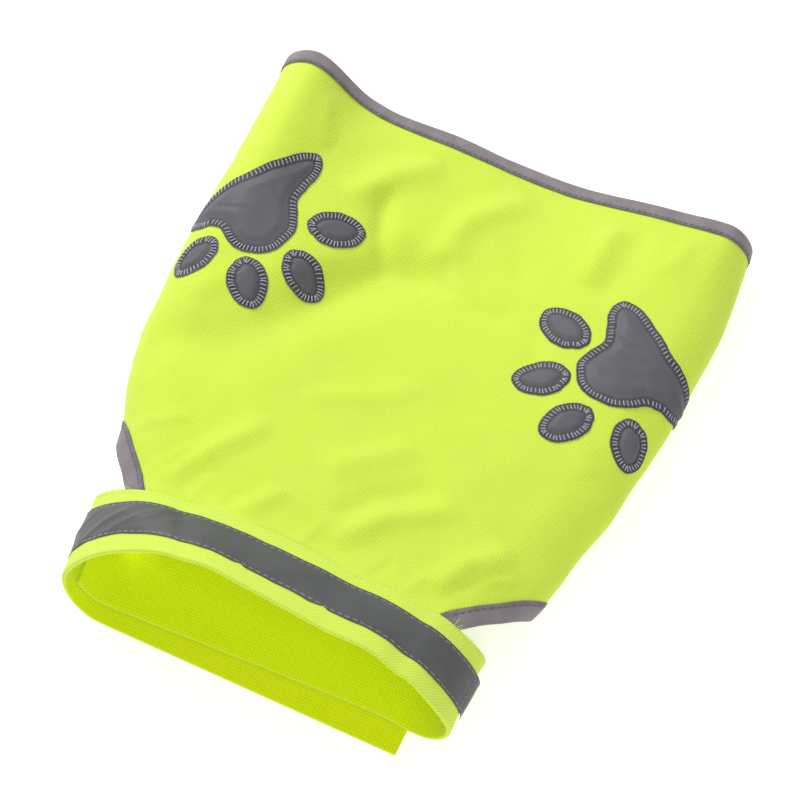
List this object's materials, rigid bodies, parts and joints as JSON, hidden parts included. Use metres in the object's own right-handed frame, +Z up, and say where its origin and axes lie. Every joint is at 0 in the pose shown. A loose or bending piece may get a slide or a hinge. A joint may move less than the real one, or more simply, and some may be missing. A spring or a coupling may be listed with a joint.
{
  "type": "dog safety vest",
  "caption": "Small dog's high-visibility vest of bright cloth with a grey-bound hem, a tall neck band with a reflective tape and raised paw-print patches, lying on its belly.",
  "frame": {"origin": "middle of the vest's box at the table it lies on", "axes": "+Z up from the table, +Y from the neck towards the rear hem, +X to the viewer's right when seen from above with the neck towards the viewer, which is the wearer's left"},
  "size_m": [0.2367, 0.2778, 0.0571],
  "materials": {
    "bright_cloth": "matt woven fluorescent yellow-green polyester",
    "grey_binding": "matt ribbed taupe-grey binding tape",
    "reflective_tape": "smooth dark grey retroreflective tape, satin",
    "reflective_patch": "smooth dark grey retroreflective cloth, satin"
  },
  "bodies": {
    "root": {"body_panel": "bright_cloth", "hem_binding": "grey_binding", "leg_binding_left": "grey_binding", "leg_binding_right": "grey_binding", "neck_band": "bright_cloth", "neck_tape": "reflective_tape", "paw_left_pad": "reflective_patch", "paw_left_toe_1": "reflective_patch", "paw_left_toe_2": "reflective_patch", "paw_left_toe_3": "reflective_patch", "paw_left_toe_4": "reflective_patch", "paw_right_pad": "reflective_patch", "paw_right_toe_1": "reflective_patch", "paw_right_toe_2": "reflective_patch", "paw_right_toe_3": "reflective_patch", "paw_right_toe_4": "reflective_patch"}
  },
  "joints": []
}
